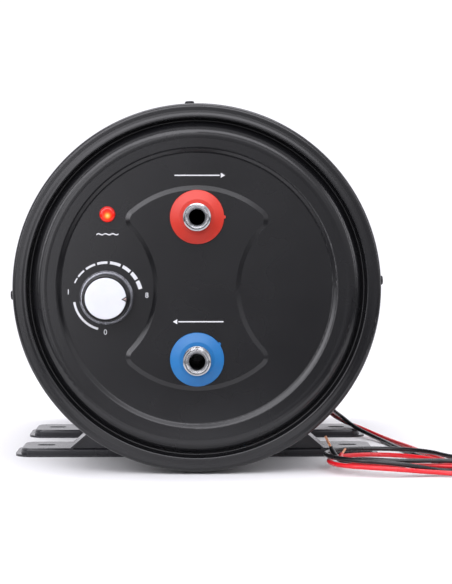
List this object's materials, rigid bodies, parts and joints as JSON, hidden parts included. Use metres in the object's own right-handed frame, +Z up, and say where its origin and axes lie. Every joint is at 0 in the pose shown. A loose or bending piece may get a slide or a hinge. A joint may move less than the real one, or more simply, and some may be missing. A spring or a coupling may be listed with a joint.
{
  "type": "water_heater",
  "caption": "Round black 12 V storage water heater for a caravan, with red and blue collared ports, a thermostat knob, a lamp, two slotted feet and a loose hank of leads",
  "frame": {"origin": "on the floor under the middle of the heater's length and width", "axes": "+X to the right as seen from the front, +Y to the back along the drum, +Z up; the front faces -Y"},
  "size_m": [0.4255, 0.4558, 0.2843],
  "materials": {
    "powder_coat": "satin",
    "black_steel": "satin",
    "zinc_steel": "satin",
    "stainless": "satin",
    "stainless_bright": "polished",
    "red_plastic": "satin",
    "blue_plastic": "satin",
    "black_rubber": "matte",
    "brass": "satin",
    "white_plastic": "gloss",
    "black_plastic": "satin",
    "copper": "satin",
    "pointer_plastic": "polished",
    "red_lens": "gloss",
    "spring_steel": "satin",
    "aluminium": "satin",
    "foam": "matte",
    "red_pvc": "gloss",
    "black_pvc": "gloss"
  },
  "bodies": {
    "heater": {"front_cover": "powder_coat", "rear_cover": "powder_coat", "front_cover_screws": "black_steel", "rear_cover_screws": "black_steel", "outer_shell": "powder_coat", "front_foot": "powder_coat", "rear_foot": "powder_coat", "foot_rivets": "zinc_steel", "tank_shell": "stainless", "tank_front_end": "stainless", "tank_rear_end": "stainless", "hot_outlet_nipple": "stainless_bright", "cold_inlet_nipple": "stainless_bright", "outlet_pickup": "stainless", "inlet_spreader": "stainless", "hot_collar": "red_plastic", "cold_collar": "blue_plastic", "element_boss": "stainless", "element_gasket": "black_rubber", "element_plug": "brass", "heating_element": "stainless", "terminal_bushes": "white_plastic", "element_terminals": "zinc_steel", "thermostat_body": "black_plastic", "thermostat_screws": "zinc_steel", "sensor_pocket": "stainless", "sensor_bulb": "copper", "capillary_tube": "copper", "lamp_lens": "red_lens", "lamp_body": "white_plastic", "lamp_clip": "spring_steel", "cutout_cup": "aluminium", "cutout_body": "black_plastic", "cutout_strap": "zinc_steel", "cutout_studs": "zinc_steel", "cutout_nuts": "zinc_steel", "insulation_jacket": "foam", "insulation_disc": "foam", "cable_grommet": "black_rubber", "inner_red_lead": "red_pvc", "inner_black_lead": "black_pvc", "red_lead": "red_pvc", "black_lead": "black_pvc", "red_hank": "red_pvc", "black_hank": "black_pvc", "red_copper_end": "copper", "black_copper_end": "copper", "hank_tie": "black_plastic"},
    "knob": {"knob_body": "black_plastic", "knob_face": "white_plastic", "knob_pointer": "pointer_plastic", "thermostat_spindle": "brass"},
    "button": {"reset_button": "red_plastic"}
  },
  "joints": [
    {"name": "knob_turn", "type": "hinge", "parent": "heater", "child": "knob", "pos_m": [-0.0686, -0.187, 0.135], "axis": [0, -1, 0], "range_deg": [0, 268]},
    {"name": "reset_button_press", "type": "slide", "parent": "heater", "child": "button", "axis": [0, 1, 0], "range_m": [0, 0.001], "stiffness_N_per_m": 500}
  ]
}
